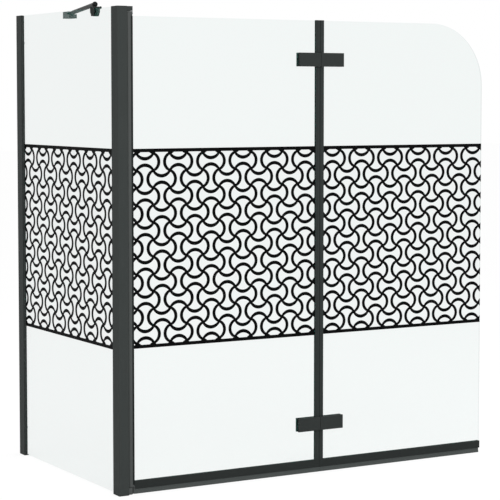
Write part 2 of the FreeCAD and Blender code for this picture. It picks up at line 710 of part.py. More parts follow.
def floor_wiper(leaf, span):
    """A soft seal with a root in the rail and two lips that touch the bath's rim."""
    outer = "(wiper_root_half + wiper_lip_flare)"
    points = (
        (f"{FRONT_LINE} - {outer}", "0"),
        (f"{FRONT_LINE} - {outer} + wiper_lip_thick", "0"),
        (f"{FRONT_LINE} - wiper_root_half + wiper_lip_thick", "rail_bottom - wiper_lip_thick"),
        (f"{FRONT_LINE} + wiper_root_half - wiper_lip_thick", "rail_bottom - wiper_lip_thick"),
        (f"{FRONT_LINE} + {outer} - wiper_lip_thick", "0"),
        (f"{FRONT_LINE} + {outer}", "0"),
        (f"{FRONT_LINE} + wiper_root_half", "rail_bottom"),
        (f"{FRONT_LINE} + wiper_root_half", f"{LEAF_FOOT} - rail_web"),
        (f"{FRONT_LINE} - wiper_root_half", f"{LEAF_FOOT} - rail_web"),
        (f"{FRONT_LINE} - wiper_root_half", "rail_bottom"),
    )
    Piece(f"leaf_{leaf}_floor_wiper").outline("YZ_Plane", points, span)


def seal_heights():
    """The three lengths of centre seal, between the rail, the hinges and the glass top."""
    half = "(hinge_height / 2 + running_gap)"
    return (
        ("rail_top", f"lower_hinge_level - {half}"),
        (f"lower_hinge_level + {half}", f"{UPPER_HINGE} - {half}"),
        (f"{UPPER_HINGE} + {half}", f"{LEAF_TOP} + seal_top_rise"),
    )


def centre_seal(leaf):
    """A soft edge profile that grips the glass and closes the gap at the fold."""
    seal = Piece(f"leaf_{leaf}_centre_seal")
    body_y = (f"{FRONT_LINE} - seal_body_half", f"{FRONT_LINE} + seal_body_half")
    flange_y = (f"{FRONT_GLASS[0]} - seal_wall", f"{FRONT_GLASS[1]} + seal_wall")
    if leaf == 1:
        body_x = ("fold_line - seal_body_near", NEAR_END)
        flange_x = ("fold_line - seal_body_near - seal_flange_near", "fold_line - seal_body_near")
        glass_x = ("fold_line - seal_body_near - seal_flange_near - overrun", NEAR_GLASS_END)
    else:
        body_x = (FAR_START, "fold_line + seal_body_far")
        flange_x = ("fold_line + seal_body_far", "fold_line + seal_body_far + seal_flange_far")
        glass_x = (FAR_GLASS_START, "fold_line + seal_body_far + seal_flange_far + overrun")
    for height in seal_heights():
        seal.box(body_x, body_y, height)
        seal.box(flange_x, flange_y, height)
    seal.box(glass_x, FRONT_GLASS, ("0", "screen_height"), cut=True)


def plate_span(leaf):
    """The X span of one leaf's hinge plates."""
    if leaf == 1:
        return ("fold_line - plate_reach_near", NEAR_END)
    return (FAR_START, "fold_line + plate_reach_far")


def hinge_span(level, half="hinge_height / 2"):
    return (f"{level} - {half}", f"{level} + {half}")


def outer_plate(name, level, leaf):
    """The plate that shows from outside, with blind threaded holes."""
    outer = f"({FRONT_GLASS[0]} - plate_pad_thick - plate_thick)"
    inner = f"({FRONT_GLASS[0]} - plate_pad_thick)"
    plate = Piece(f"{name}_hinge_outer_plate_{leaf}")
    plate.box(plate_span(leaf), (outer, inner), hinge_span(level))
    plate.edges("Chamfer", "plate_edge", at("y", outer))
    for place in screw_places(leaf):
        plate.rod("Y", (place, level), "hinge_screw_radius + pin_clearance",
                  (f"{inner} - hinge_screw_grip", f"{inner}"), cut=True)


def inner_plate(name, level, leaf):
    """The plate on the bath's side, with its knuckles round the hinge pin and its screw seats."""
    inner = f"({FRONT_GLASS[1]} + plate_pad_thick)"
    outer = f"({inner} + plate_thick)"
    plate = Piece(f"{name}_hinge_inner_plate_{leaf}")
    plate.box(plate_span(leaf), (inner, outer), hinge_span(level))
    plate.edges("Chamfer", "plate_edge", at("y", outer))
    spot = ("fold_line", FOLD_Y)
    middle = hinge_span(level, "knuckle_half")
    clear_middle = hinge_span(level, "(knuckle_half + hinge_washer_thick)")
    ends = (
        (f"{level} - hinge_height / 2", clear_middle[0]),
        (clear_middle[1], f"{level} + hinge_height / 2"),
    )
    room = "knuckle_radius + running_gap"
    if leaf == 1:
        plate.rod("Z", spot, room, clear_middle, cut=True)
        for end in ends:
            plate.rod("Z", spot, "knuckle_radius", end)
    else:
        plate.rod("Z", spot, room, (ends[0][0], f"{middle[0]}"), cut=True)
        plate.rod("Z", spot, room, (f"{middle[1]}", ends[1][1]), cut=True)
        plate.rod("Z", spot, "knuckle_radius", middle)
    plate.rod("Z", spot, "hinge_pin_radius + pin_clearance", hinge_span(level), cut=True)
    for place in screw_places(leaf):
        bore = (inner, outer)
        head = (f"{outer} - hinge_head_depth", outer)
        plate.rod("Y", (place, level), "hinge_screw_radius + slip_gap", bore, cut=True)
        plate.rod("Y", (place, level), "hinge_head_radius + slip_gap", head, cut=True)


def hinge_pads(leaf):
    """Soft pads between the hinge plates and the glass."""
    pads = Piece(f"leaf_{leaf}_hinge_pads")
    if leaf == 1:
        span = ("fold_line - plate_reach_near", NEAR_GLASS_END)
    else:
        span = (FAR_GLASS_START, "fold_line + plate_reach_far")
    for level in HINGES.values():
        for side in (
            (f"{FRONT_GLASS[0]} - plate_pad_thick", FRONT_GLASS[0]),
            (FRONT_GLASS[1], f"{FRONT_GLASS[1]} + plate_pad_thick"),
        ):
            pads.box(span, side, hinge_span(level))
        for place in screw_places(leaf):
            across = (f"{FRONT_GLASS[0]} - overrun", f"{FRONT_GLASS[1]} + overrun")
            pads.rod("Y", (place, level), "glass_hole_radius", across, cut=True)


def hinge_sleeves(leaf):
    """Plastic sleeves that keep the screws off the glass."""
    sleeves = Piece(f"leaf_{leaf}_hinge_sleeves")
    span = (f"{FRONT_GLASS[0]} - plate_pad_thick", f"{FRONT_GLASS[1]} + plate_pad_thick")
    for level in HINGES.values():
        for place in screw_places(leaf):
            sleeves.rod("Y", (place, level), "sleeve_radius", span)
            sleeves.rod("Y", (place, level), "hinge_screw_radius + slip_gap", span, cut=True)


def hinge_screws(leaf):
    """Socket screws that clamp the plates on the glass from the bath's side."""
    screws = Piece(f"leaf_{leaf}_hinge_screws")
    outer = f"({FRONT_GLASS[1]} + plate_pad_thick + plate_thick)"
    seat = f"{outer} - hinge_head_depth"
    tip = f"{FRONT_GLASS[0]} - plate_pad_thick - hinge_screw_grip"
    for level in HINGES.values():
        for place in screw_places(leaf):
            spot = (place, level)
            screws.rod("Y", spot, "hinge_screw_radius", (tip, seat))
            screws.rod("Y", spot, "hinge_head_radius", (seat, f"{outer} - slip_gap"))
            screws.hexagon("Y", spot, "hex_radius", (f"{outer} - hex_depth", f"{outer} + overrun"))


def hinge_pin(name, level):
    """The pin of one hinge and the washers between its knuckles."""
    spot = ("fold_line", FOLD_Y)
    Piece(f"{name}_hinge_pin").rod("Z", spot, "hinge_pin_radius", hinge_span(level))
    rings = Piece(f"{name}_hinge_washers")
    inner = hinge_span(level, "(knuckle_half + slip_gap)")
    outer = hinge_span(level, "(knuckle_half + hinge_washer_thick)")
    for span in ((outer[0], inner[0]), (inner[1], outer[1])):
        rings.rod("Z", spot, "knuckle_radius - slip_gap", span)
    rings.rod("Z", spot, "hinge_pin_radius + pin_clearance", hinge_span(level), cut=True)


def glass_clamp():
    """A tapered cup that straddles the top edge of the side glass."""
    spot = (CLAMP_LINE, "clamp_place")
    low = "screen_height - clamp_drop"
    high = "screen_height + clamp_rise"
    clamp = Piece("stay_clamp")
    heel, bowl = f"{low} + clamp_heel_depth", f"{low} + clamp_bowl_depth"
    clamp.cone("Z", spot, ("clamp_bottom_radius", "clamp_heel_radius"), (low, heel))
    clamp.cone("Z", spot, ("clamp_heel_radius", "clamp_bowl_radius"), (heel, bowl))
    clamp.cone("Z", spot, ("clamp_bowl_radius", "clamp_top_radius"), (bowl, high))
    clamp.edges("Chamfer", "clamp_edge / 2", at("z", low))
    clamp.edges("Chamfer", "clamp_edge", at("z", high))
    half = "(glass_thick / 2 + clamp_pad_thick)"
    clamp.box(
        (f"{SIDE_LINE} - {half}", f"{SIDE_LINE} + {half}"),
        ("clamp_place - clamp_top_radius - overrun", "clamp_place + clamp_top_radius + overrun"),
        (f"{low} - overrun", "screen_height + slip_gap"),
        cut=True,
    )
    clamp.rod("Z", spot, "swivel_radius + pin_clearance", ("screen_height", f"{high} + overrun"), cut=True)
    clamp.rod("X", ("clamp_place", GRUB_LEVEL), "grub_radius + pin_clearance",
              (f"{SIDE_LINE} + {half}", f"{CLAMP_LINE} + clamp_top_radius + overrun"), cut=True)
    clamp.rod("X", ("clamp_place", KNOB_LEVEL), "stay_knob_shank + pin_clearance",
              (CLAMP_LINE, f"{CLAMP_LINE} + clamp_top_radius + overrun"), cut=True)


def clamp_pads():
    """Soft pads between the clamp's cheeks and the side glass."""
    pads = Piece("stay_clamp_pads")
    for side in (
        (f"{SIDE_GLASS[0]} - clamp_pad_thick", SIDE_GLASS[0]),
        (SIDE_GLASS[1], f"{SIDE_GLASS[1]} + clamp_pad_thick"),
    ):
        pads.box(side, ("clamp_place - clamp_pad_half", "clamp_place + clamp_pad_half"),
                 ("screen_height - clamp_drop + clamp_edge", "screen_height"))


def clamp_screws():
    """The grub screw that tightens the clamp and the knob that locks the stay's swivel."""
    spot = ("clamp_place", GRUB_LEVEL)
    start = f"{SIDE_GLASS[1]} + clamp_pad_thick"
    grub = Piece("stay_clamp_grub_screw")
    grub.rod("X", spot, "grub_radius", (start, f"{CLAMP_LINE} + clamp_bottom_radius"))
    grub.hexagon("X", spot, "grub_radius / 2", (f"{CLAMP_LINE} + clamp_bottom_radius - hex_depth",
                                                f"{CLAMP_LINE} + clamp_bottom_radius + overrun"))
    spot = ("clamp_place", KNOB_LEVEL)
    rim = f"({CLAMP_LINE} + clamp_top_radius)"
    knob = Piece("stay_lock_screw")
    knob.rod("X", spot, "stay_knob_shank", (f"{CLAMP_LINE} + swivel_radius", rim))
    knob.rod("X", spot, "stay_knob_radius", (rim, f"{rim} + stay_knob_length"))


def stay_swivel():
    """The stud that joins the bar's ball end to the clamp."""
    Piece("stay_swivel_stud").rod("Z", (CLAMP_LINE, "clamp_place"), "swivel_radius",
                                  ("screen_height + slip_gap", STAY_LEVEL))


def stay_bar():
    """A round bar with a ball end over the clamp and a flat tongue in the wall bracket."""
    bar = Piece("stay_bar", x=CLAMP_LINE, y="clamp_place", z=STAY_LEVEL)
    turn = f"atan(({EYE_Y} - clamp_place) / (bracket_place - {CLAMP_LINE}))"
    bind(bar.body, Placement__Rotation__Angle=turn)
    tongue_root = f"({STAY_RUN} - stay_tongue_length)"
    bar.rod("X", ("0", "0"), "stay_radius", ("0", tongue_root))
    bar.ball(("0", "0", "0"), "stay_ball_radius")
    bar.box((tongue_root, STAY_RUN), ("-stay_radius", "stay_radius"), ("-stay_tongue_half", "0"))
    bar.rod("Z", (STAY_RUN, "0"), "stay_radius", ("-stay_tongue_half", "0"))
    foot = "stay_rise - clamp_rise - running_gap"
    bar.box(
        ("-stay_ball_radius - overrun", "stay_ball_radius + overrun"),
        ("-stay_ball_radius - overrun", "stay_ball_radius + overrun"),
        ("-stay_ball_radius - overrun", f"-({foot})"),
        cut=True,
    )
    bar.rod("Z", ("0", "0"), "swivel_radius + pin_clearance", ("-stay_ball_radius", "0"), cut=True)
    eye = "bracket_pin_radius + pin_clearance"
    bar.rod("Z", (STAY_RUN, "0"), eye, ("-stay_radius", "stay_radius"), cut=True)


def stay_bracket():
    """The wall bracket: a short square block with a jaw for the bar's tongue."""
    spot = ("bracket_place", BRACKET_LEVEL)
    front = "(side_depth - bracket_length)"
    bracket = Piece("stay_wall_bracket")
    low, high = f"{BRACKET_LEVEL} - bracket_height / 2", f"{BRACKET_LEVEL} + bracket_height / 2"
    sides = ("bracket_place - bracket_width / 2", "bracket_place + bracket_width / 2")
    bracket.box(sides, (front, "side_depth"), (low, high))
    bracket.edges("Chamfer", "bracket_edge", at("y", front))
    across = (f"{sides[0]} - overrun", f"{sides[1]} + overrun")
    jaw = (f"{STAY_LEVEL} - stay_tongue_half - slip_gap", f"{STAY_LEVEL} + slip_gap")
    bracket.box(across, (f"{front} - overrun", f"{front} + bracket_jaw"), jaw, cut=True)
    eye = ("bracket_place", EYE_Y)
    hole = (f"{low} - overrun", f"{high} + overrun")
    bracket.rod("Z", eye, "bracket_pin_radius + pin_clearance", hole, cut=True)
    thread = ("side_depth - bracket_thread_depth", "side_depth")
    bracket.rod("Y", spot, "bracket_thread_radius", thread, cut=True)
    pin = (f"{low} + bracket_edge", f"{high} - bracket_edge")
    Piece("stay_bracket_pin").rod("Z", eye, "bracket_pin_radius", pin)


def build():
    """Makes every sub-part."""
    side_glass()
    corner_post()
    post_gaskets()
    post_caps()
    wall_profile()
    glass_channel()
    channel_gaskets()
    channel_lock_screws()
    wall_profile_caps()
    pivot_arms()
    pivot_arm_screws()
    pivot_pins()
    thrust_washer()
    post_seal()
    swing_profile()
    pivot_plugs()
    swing_gaskets()
    front_glass()
    for leaf, span in ((1, (SWING_END, NEAR_END)), (2, (FAR_START, "front_width"))):
        bottom_rail(leaf, span)
        floor_wiper(leaf, span)
        centre_seal(leaf)
        hinge_pads(leaf)
        hinge_sleeves(leaf)
        hinge_screws(leaf)
        for name, level in HINGES.items():
            outer_plate(name, level, leaf)
            inner_plate(name, level, leaf)
    for name, level in HINGES.items():
        hinge_pin(name, level)
    glass_clamp()
    clamp_pads()
    clamp_screws()
    stay_swivel()
    stay_bar()
    stay_bracket()


def check_and_write():
    """Stops on any failed feature or bad shape, then writes one STEP file per sub-part."""
    doc.recompute()
    for thing in doc.Objects:
        if "Invalid" in thing.State or "Error" in thing.State:
            raise ValueError(f"{thing.Label} failed")
    for label, body in Piece.made.items():
        shape = body.Shape
        if shape.isNull() or not shape.isValid():
            raise ValueError(f"{label} has no valid shape")
        print(f"{label}: {len(shape.Solids)} solids, {shape.Volume:.0f} mm3")
    os.makedirs("parts", exist_ok=True)
    for label, body in Piece.made.items():
        body.Shape.exportStep(f"parts/{label}.step")


build()
check_and_write()
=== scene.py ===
"""A folding bath screen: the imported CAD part, its finishes, printed panes, soft trims and knob."""

import math

import bmesh
import bpy
from mathutils import Matrix, Vector


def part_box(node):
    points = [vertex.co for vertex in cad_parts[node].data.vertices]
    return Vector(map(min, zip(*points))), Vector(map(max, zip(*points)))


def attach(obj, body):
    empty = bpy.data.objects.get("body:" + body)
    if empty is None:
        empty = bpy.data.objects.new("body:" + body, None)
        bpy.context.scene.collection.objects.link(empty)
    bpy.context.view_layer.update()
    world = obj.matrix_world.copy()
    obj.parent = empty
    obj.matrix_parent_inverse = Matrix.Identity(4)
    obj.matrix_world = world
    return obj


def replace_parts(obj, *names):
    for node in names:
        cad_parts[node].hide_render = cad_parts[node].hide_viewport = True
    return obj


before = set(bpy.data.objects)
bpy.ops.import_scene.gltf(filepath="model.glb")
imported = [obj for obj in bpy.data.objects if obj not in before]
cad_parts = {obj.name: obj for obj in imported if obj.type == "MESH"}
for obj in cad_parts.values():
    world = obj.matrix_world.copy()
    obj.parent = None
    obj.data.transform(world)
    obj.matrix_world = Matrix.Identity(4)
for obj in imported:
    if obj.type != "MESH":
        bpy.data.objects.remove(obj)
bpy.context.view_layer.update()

# Lengths of the part are in millimetres, and its places count from the outer corner of the post's
# foot. The row frame is in metres from the middle of the part's foot. Floor and lamps are given in it.
MM = 0.001
CORNER = Vector((-0.6, -0.34, 0.0))
ALONG_X = 0
ALONG_Z = 2


def spot(x, y, z):
    """A place given in millimetres from the post's corner, in the row frame."""
    return CORNER + Vector((x, y, z)) * MM


def new_object(name, data):
    """An object of the scene with this mesh, lamp or camera."""
    thing = bpy.data.objects.new(name, data)
    bpy.context.scene.collection.objects.link(thing)
    return thing


# Camera, fitted to the photograph's edges. Its turn and dip are in radians and its focus is in pixels.
# The lens axis meets the picture above its middle.
PICTURE_SIDE = 500
AXIS_ROW = 220
SENSOR = 36.0
CAMERA_PLACE = (-2064.5, -4268.0, 1055.3)
CAMERA_TURN = 0.52381
CAMERA_DIP = 0.06697
CAMERA_FOCUS = 1799.0
CLIP_NEAR = 0.05
CLIP_FAR = 100.0


def add_camera():
    """The camera at the photograph's viewing angle."""
    data = bpy.data.cameras.new("view")
    data.sensor_width = SENSOR
    data.lens = CAMERA_FOCUS / PICTURE_SIDE * SENSOR
    data.shift_y = (AXIS_ROW - PICTURE_SIDE / 2) / PICTURE_SIDE
    data.clip_start = CLIP_NEAR
    data.clip_end = CLIP_FAR
    camera = new_object("view", data)
    camera.location = spot(*CAMERA_PLACE)
    camera.rotation_euler = (math.pi / 2 - CAMERA_DIP, 0.0, -CAMERA_TURN)
    bpy.context.scene.camera = camera


class Wire:
    """An output socket of a node tree. Plain operators on it add Math nodes."""

    def __init__(self, graph, socket):
        self.graph = graph
        self.socket = socket

    def other(self, name):
        """Another output of the same node."""
        return Wire(self.graph, self.socket.node.outputs[name])

    def __add__(self, value):
        return self.graph.math("ADD", self, value)

    def __sub__(self, value):
        return self.graph.math("SUBTRACT", self, value)

    def __rsub__(self, value):
        return self.graph.math("SUBTRACT", value, self)

    def __mul__(self, value):
        return self.graph.math("MULTIPLY", self, value)

    def __truediv__(self, value):
        return self.graph.math("DIVIDE", self, value)

    def __gt__(self, value):
        return self.graph.math("GREATER_THAN", self, value)

    def __lt__(self, value):
        return self.graph.math("LESS_THAN", self, value)


class Graph:
    """A node tree that grows by one node for each call of add."""

    def __init__(self, tree):
        self.tree = tree

    def add(self, kind, inputs=None, settings=None, output=0):
        """A node of the named type, its settings made first, then its sockets set or linked."""
        node = self.tree.nodes.new(kind)
        for name, value in (settings or {}).items():
            setattr(node, name, value)
        for name, value in (inputs or {}).items():
            for one in value if isinstance(value, list) else [value]:
                if isinstance(one, Wire):
                    self.tree.links.new(one.socket, node.inputs[name])
                else:
                    node.inputs[name].default_value = one
        return Wire(self, node.outputs[output] if node.outputs else None)

    def math(self, operation, first, second=0.0):
        """A Math node on one or two values."""
        return self.add("ShaderNodeMath", {0: first, 1: second}, {"operation": operation})

    def moved(self, geometry, **place):
        """Geometry shifted by its X, Y and Z."""
        shift = self.add("ShaderNodeCombineXYZ", place)
        return self.add("GeometryNodeTransform", {"Geometry": geometry, "Translation": shift})


# World, floor and lamps. The floor is white by its own glow, and its paint takes the faint shadow.
WHITE = (1.0, 1.0, 1.0, 1.0)
WORLD_LEVEL = 0.72
FLOOR_REACH = 30.0
FLOOR_HEIGHT = -0.0004
FLOOR_PAINT = (0.8, 0.8, 0.8, 1.0)
FLOOR_GLOW = 1.124
FLOOR_GLOW_SHARE = 0.75
# A large lamp ahead, a small one from the left for glints, and one from the right. Each has its
# place, the place that it faces, the side of its square and its power in watts.
LAMPS = {
    "key": ((-1.0, -4.4, 3.4), (0.0, 0.0, 0.6), 2.4, 90.0),
    "glint": ((-4.6, -2.6, 1.7), (-0.5, -0.3, 0.7), 1.1, 12.0),
    "side": ((3.8, -1.6, 2.6), (0.0, 0.0, 0.6), 2.0, 40.0),
}


def seen_directly(graph):
    """1 for the rays that show the background: from the camera, by reflection or through glass."""
    path = graph.add("ShaderNodeLightPath")
    camera = path.other("Is Camera Ray")
    glossy = path.other("Is Glossy Ray")
    through = path.other("Is Transmission Ray")
    return graph.math("MAXIMUM", camera, graph.math("MAXIMUM", glossy, through))


def add_world():
    """White to the eye, and an even soft light on the part."""
    world = bpy.data.worlds.new("studio")
    bpy.context.scene.world = world
    world.use_nodes = True
    world.node_tree.nodes.clear()
    graph = Graph(world.node_tree)
    level = seen_directly(graph) * (1.0 - WORLD_LEVEL) + WORLD_LEVEL
    light = graph.add("ShaderNodeBackground", {"Color": WHITE, "Strength": level})
    graph.add("ShaderNodeOutputWorld", {"Surface": light})


def new_material(name):
    """A material with an empty node tree, and the graph that fills it."""
    material = bpy.data.materials.new(name)
    material.use_nodes = True
    material.node_tree.nodes.clear()
    return material, Graph(material.node_tree)


def add_floor():
    """A pale floor that takes a faint shadow and is white where nothing shades it."""
    mesh = bpy.data.meshes.new("floor")
    signs = ((-1, -1), (1, -1), (1, 1), (-1, 1))
    corners = [(x * FLOOR_REACH, y * FLOOR_REACH, FLOOR_HEIGHT) for x, y in signs]
    mesh.from_pydata(corners, [], [(0, 1, 2, 3)])
    floor = new_object("floor", mesh)
    material, graph = new_material("floor_paint")
    paint = graph.add("ShaderNodeBsdfDiffuse", {"Color": FLOOR_PAINT})
    glow = graph.add("ShaderNodeEmission", {"Color": WHITE, "Strength": FLOOR_GLOW})
    share = seen_directly(graph) * FLOOR_GLOW_SHARE
    surface = graph.add("ShaderNodeMixShader", {0: share, 1: paint, 2: glow})
    graph.add("ShaderNodeOutputMaterial", {"Surface": surface})
    mesh.materials.append(material)


def add_lamps():
    """The soft square lamps."""
    for name, (place, aim, side, power) in LAMPS.items():
        data = bpy.data.lights.new(name, "AREA")
        data.shape = "SQUARE"
        data.size = side
        data.energy = power
        lamp = new_object(name, data)
        lamp.location = place
        lamp.rotation_euler = (Vector(aim) - Vector(place)).to_track_quat("-Z", "Y").to_euler()


# Finishes: how much each one mirrors, and how fine its noises are, in waves per metre. Marks that run
# one way come from noise stretched along an axis, to these shares of its scale.
COAT_GLOSS = 0.02
RUBBER_GLOSS = 0.04
PLASTIC_GLOSS = 0.05
INK_GLOSS = 0.02
COAT_CLOUD = 9.0
DRAW_LINES = 420.0
ORANGE_PEEL = 1500.0
DIE_LINES = 900.0
BLOOM = 14.0
SPARK_GRAIN = 1900.0
PLASTIC_CLOUD = 30.0
TURNING_MARKS = 2200.0
GLASS_CLOUD = 3.0
INK_GRAIN = 700.0
INK_CLOUD = 12.0
DRAW_STRETCH = 0.02
DIE_STRETCH = 0.015
TURNING_STRETCH = 0.1
# A pane's face is nearly clear, a little less so at a glancing view, and its edge is seen through the
# length of the glass.
FACE_FAINT = 0.053
FACE_GRAZING = 0.035
FACE_CLOUD = 0.006
FACE_GREEN = (0.05, 0.32, 0.255)
EDGE_FAINT = 0.07
EDGE_DEPTH = 0.45
EDGE_GREEN = (0.10, 0.25, 0.21)
EDGE_LIMIT = 0.5
GLASS_IOR = 1.5
# The Mix node's sockets for colours
MIX_FACTOR = 0
MIX_FIRST = 6
MIX_SECOND = 7
MIX_RESULT = 2


def finish(name, constants, inputs):
    """A material whose Principled shader takes constants and what inputs(graph) returns."""
    material, graph = new_material(name)
    sockets = dict(constants)
    sockets.update(inputs(graph))
    surface = graph.add("ShaderNodeBsdfPrincipled", sockets)
    graph.add("ShaderNodeOutputMaterial", {"Surface": surface})
    return material


def stretched(along, share):
    """Scales on X, Y and Z that draw noise out along one axis, or along none."""
    return tuple(share if axis == along else 1.0 for axis in "XYZ")


def noise(graph, scale, detail=2.0, roughness=0.5, stretch=(1.0, 1.0, 1.0)):
    """Noise over the object's own coordinates, in metres, stretched along an axis where asked."""
    place = graph.add("ShaderNodeTexCoord", output="Object")
    place = graph.add("ShaderNodeMapping", {"Vector": place, "Scale": stretch})
    inputs = {"Vector": place, "Scale": scale, "Detail": detail, "Roughness": roughness}
    return graph.add("ShaderNodeTexNoise", inputs)


def tone(graph, factor, dark, light):
    """A colour between two, by a factor from 0 to 1."""
    inputs = {MIX_FACTOR: factor, MIX_FIRST: (*dark, 1.0), MIX_SECOND: (*light, 1.0)}
    return graph.add("ShaderNodeMix", inputs, {"data_type": "RGBA"}, MIX_RESULT)


def bump(graph, height, strength, depth):
    """A relief of the surface, its depth in millimetres."""
    return graph.add("ShaderNodeBump", {"Height": height, "Strength": strength, "Distance": depth * MM})


def powder_coat(name, dark, light, along="", gloss=COAT_GLOSS):
    """Matt powder coat: a fine orange peel, cloudy tone, and draw lines along an extrusion."""

    def inputs(graph):
        cloud = noise(graph, COAT_CLOUD, 3.0)
        lines = noise(graph, DRAW_LINES, 2.0, 0.6, stretched(along, DRAW_STRETCH))
        peel = noise(graph, ORANGE_PEEL, 1.0)
        return {
            "Base Color": tone(graph, cloud * 0.5 + lines * 0.5, dark, light),
            "Roughness": lines * 0.12 + cloud * 0.10 + 0.34,
            "Normal": bump(graph, peel * 0.7 + lines * 0.3, 0.4, 0.08),
        }

    return finish(name, {"Specular IOR Level": gloss}, inputs)


def rubber(name, dark, light, along):
    """Extruded soft trim: matt, with die lines along its run and a dusty bloom in patches."""

    def inputs(graph):
        lines = noise(graph, DIE_LINES, 2.0, 0.6, stretched(along, DIE_STRETCH))
        patch = noise(graph, BLOOM, 3.0)
        return {
            "Base Color": tone(graph, lines * 0.5 + patch * 0.5, dark, light),
            "Roughness": patch * 0.2 + 0.55,
            "Normal": bump(graph, lines, 0.4, 0.1),
        }

    return finish(name, {"Specular IOR Level": RUBBER_GLOSS}, inputs)


def moulding(name, dark, light):
    """Injection-moulded plastic with a fine spark-eroded grain."""

    def inputs(graph):
        grain = noise(graph, SPARK_GRAIN, 3.0, 0.7)
        cloud = noise(graph, PLASTIC_CLOUD)
        return {
            "Base Color": tone(graph, cloud, dark, light),
            "Roughness": grain * 0.2 + 0.42,
            "Normal": bump(graph, grain, 0.5, 0.08),
        }

    return finish(name, {"Specular IOR Level": PLASTIC_GLOSS}, inputs)


def steel(name, dark, light):
    """Blackened stainless steel of pins and screws, with the marks of turning."""

    def inputs(graph):
        marks = noise(graph, TURNING_MARKS, 2.0, 0.6, stretched("Z", TURNING_STRETCH))
        return {
            "Base Color": tone(graph, marks, dark, light),
            "Roughness": marks * 0.18 + 0.24,
            "Normal": bump(graph, marks, 0.15, 0.03),
        }

    return finish(name, {"Metallic": 1.0}, inputs)


def clear_glass(name, across):
    """Clear toughened glass that faces along one axis: faint on its faces, green in its edges."""

    def inputs(graph):
        cloud = noise(graph, GLASS_CLOUD)
        grazing = graph.add("ShaderNodeLayerWeight", {"Blend": 0.5}, output="Facing")
        normal = graph.add("ShaderNodeTexCoord", output="Normal")
        ahead = graph.add("ShaderNodeSeparateXYZ", {0: normal}, output=across)
        edge = graph.math("ABSOLUTE", ahead) < EDGE_LIMIT
        square = 1.0 - grazing
        through_edge = square * square * square * EDGE_DEPTH + EDGE_FAINT
        through_face = grazing * FACE_GRAZING + cloud * FACE_CLOUD + FACE_FAINT
        return {
            "Base Color": tone(graph, edge, FACE_GREEN, EDGE_GREEN),
            "Alpha": edge * (through_edge - through_face) + through_face,
            "Roughness": cloud * 0.02 + 0.03,
        }

    return finish(name, {"IOR": GLASS_IOR}, inputs)


def fired_ink(name, dark, light):
    """Black enamel fired on the glass: even and dull, with a faint grain."""

    def inputs(graph):
        grain = noise(graph, INK_GRAIN, 3.0, 0.6)
        cloud = noise(graph, INK_CLOUD)
        return {
            "Base Color": tone(graph, cloud, dark, light),
            "Roughness": grain * 0.15 + 0.45,
            "Normal": bump(graph, grain, 0.15, 0.02),
        }

    return finish(name, {"Specular IOR Level": INK_GLOSS}, inputs)


def dress(thing, material):
    """Gives every material slot of an object one material."""
    if not thing.data.materials:
        thing.data.materials.append(material)
    for slot in thing.material_slots:
        slot.material = material


# Geometry Nodes trees. Points that are as close as this, in metres, become one.
JOIN_WITHIN = 1e-5
WELD_WITHIN = 1e-6


def start_tree(name, inputs):
    """The graph of a new tree that gives out geometry, and the tree's inputs by name.

    inputs holds (kind of socket, names) in the order of the sockets."""
    tree = bpy.data.node_groups.new(name, "GeometryNodeTree")
    tree.interface.new_socket("Geometry", in_out="OUTPUT", socket_type="NodeSocketGeometry")
    titles = []
    for kind, names in inputs:
        for title in names:
            tree.interface.new_socket(title, in_out="INPUT", socket_type=f"NodeSocket{kind}")
            titles.append(title)
    graph = Graph(tree)
    entry = graph.add("NodeGroupInput")
    return graph, {title: entry.other(title) for title in titles}


def joined(graph, geometry):
    """Several geometries as one."""
    return graph.add("GeometryNodeJoinGeometry", {"Geometry": geometry})


def merged(graph, geometry, within):
    """Geometry with its close points made one."""
    return graph.add("GeometryNodeMergeByDistance", {"Geometry": geometry, "Distance": within})


def raised(graph, face, height):
    """A closed body from a flat face, its far side raised along Z."""
    top = graph.add("GeometryNodeExtrudeMesh", {
        "Mesh": face, "Offset Scale": height, "Individual": False}, {"mode": "FACES"})
    foot = graph.add("GeometryNodeFlipFaces", {"Mesh": face})
    return merged(graph, joined(graph, [top, foot]), WELD_WITHIN)


def end_tree(graph, geometry, material):
    """The tree of a graph, ended with its geometry in one material."""
    made = graph.add("GeometryNodeRealizeInstances", {"Geometry": geometry})
    made = graph.add("GeometryNodeSetMaterial", {"Geometry": made, "Material": material})
    graph.add("NodeGroupOutput", {"Geometry": made})
    return graph.tree


def outline_mesh(name, corners):
    """A closed outline of (x, y, rounding) corners in millimetres, as edges."""
    mesh = bpy.data.meshes.new(name)
    count = len(corners)
    points = [(x * MM, y * MM, 0.0) for x, y, _ in corners]
    mesh.from_pydata(points, [(index, (index + 1) % count) for index in range(count)], [])
    rounding = mesh.attributes.new("rounding", "FLOAT", "POINT")
    rounding.data.foreach_set("value", [radius * MM for _, _, radius in corners])
    return mesh


def grown(name, tree, values, outline=()):
    """A plain mesh object from a Geometry Nodes tree, run on an outline and with the named values."""
    seed = new_object(f"{name}_seed", outline_mesh(f"{name}_seed", outline))
    modifier = seed.modifiers.new("nodes", "NODES")
    modifier.node_group = tree
    for item in tree.interface.items_tree:
        if item.in_out == "INPUT" and item.name in values:
            modifier[item.identifier] = values[item.name]
    ready = seed.evaluated_get(bpy.context.evaluated_depsgraph_get())
    mesh = bpy.data.meshes.new_from_object(ready)
    bpy.data.objects.remove(seed)
    mesh.name = name
    return new_object(name, mesh)


